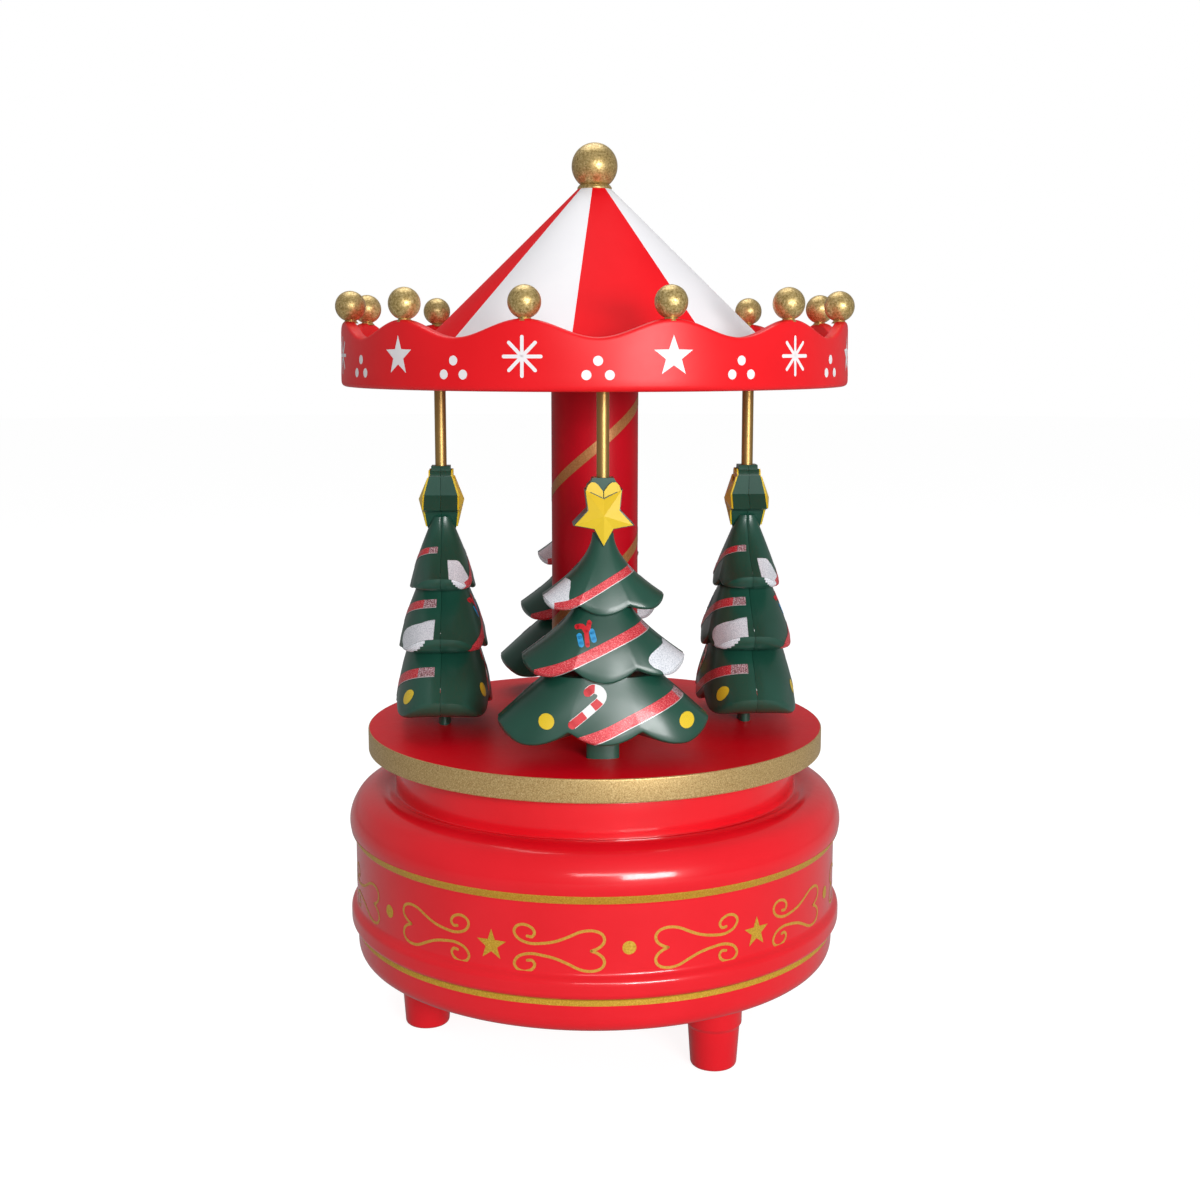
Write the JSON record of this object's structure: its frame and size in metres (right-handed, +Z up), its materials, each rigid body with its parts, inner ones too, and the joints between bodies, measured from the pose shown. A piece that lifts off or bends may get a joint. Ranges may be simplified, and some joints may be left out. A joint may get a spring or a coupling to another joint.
{
  "type": "carousel music box",
  "caption": "Wind-up musical carousel: round footed base, turning platform with fir trees on poles, centre column and conical tent canopy with rim balls.",
  "frame": {"origin": "table surface under the middle of the base", "axes": "+Z up along the turning axis, -Y towards the viewer"},
  "size_m": [0.0988, 0.0988, 0.175],
  "materials": {
    "red_lacquer": "satin gloss lacquer",
    "striped_roof": "satin gloss, painted in red and white sectors",
    "gold_leaf": "mottled gold paint",
    "tree_green": "satin paint with painted bands",
    "brass": "polished tube",
    "movement_brass": "bright",
    "zinc": "die-cast zinc",
    "steel": "ground",
    "spring_steel": "blued",
    "screw_steel": "nickel plated",
    "nylon": "moulded nylon"
  },
  "bodies": {
    "base": {"base_shell": "red_lacquer", "bottom_plate": "red_lacquer", "foot_1": "red_lacquer", "foot_2": "red_lacquer", "foot_3": "red_lacquer", "shell_screws": "screw_steel", "bedplate": "zinc", "bedplate_screws": "screw_steel", "comb_block": "zinc", "comb": "steel", "comb_screws": "screw_steel", "cylinder_bearing": "zinc", "governor_bearing": "zinc", "outer_bearing": "zinc", "governor_frame": "zinc", "click_spring": "spring_steel"},
    "rotor": {"spring_barrel": "movement_brass", "barrel_cover": "movement_brass", "mainspring": "spring_steel", "drive_spindle": "steel", "platform": "red_lacquer", "platform_screw": "screw_steel", "column": "red_lacquer", "canopy_skirt": "red_lacquer", "canopy_roof": "striped_roof", "finial": "gold_leaf", "rim_balls": "gold_leaf", "rod_1": "brass", "rod_2": "brass", "rod_3": "brass", "rod_4": "brass", "tree_1_outer": "tree_green", "tree_2_outer": "tree_green", "tree_3_outer": "tree_green", "tree_4_outer": "tree_green", "tree_1_inner": "tree_green", "tree_2_inner": "tree_green", "tree_3_inner": "tree_green", "tree_4_inner": "tree_green"},
    "key": {"wind_key": "movement_brass", "winding_arbor": "steel"},
    "cylinder": {"cylinder_arbor": "steel", "tune_cylinder": "movement_brass", "cylinder_pinion": "movement_brass", "cylinder_wheel": "movement_brass"},
    "governor_wheel": {"governor_arbor": "steel", "governor_pinion": "movement_brass", "worm_wheel": "nylon"},
    "governor": {"worm": "steel", "governor_fan": "nylon"}
  },
  "joints": [
    {"name": "rotor_spin", "type": "hinge", "parent": "base", "child": "rotor", "pos_m": [0, 0, 0.05], "axis": [0, 0, 1], "continuous": true},
    {"name": "key_wind", "type": "hinge", "parent": "base", "child": "key", "pos_m": [0, 0, 0.02], "axis": [0, 0, 1], "continuous": true},
    {"name": "cylinder_spin", "type": "hinge", "parent": "base", "child": "cylinder", "pos_m": [0.03, 0, 0.0393], "axis": [1, 0, 0], "continuous": true},
    {"name": "governor_wheel_spin", "type": "hinge", "parent": "base", "child": "governor_wheel", "pos_m": [0.036, 0.012, 0.0393], "axis": [1, 0, 0], "continuous": true},
    {"name": "governor_spin", "type": "hinge", "parent": "base", "child": "governor", "pos_m": [0.0345, 0.0182, 0.042], "axis": [0, 0, 1], "continuous": true}
  ],
  "couplings": [
    {"joint": "cylinder_spin", "follows": "rotor_spin", "ratio": 2.5},
    {"joint": "governor_wheel_spin", "follows": "rotor_spin", "ratio": -7.5},
    {"joint": "governor_spin", "follows": "rotor_spin", "ratio": 180}
  ]
}
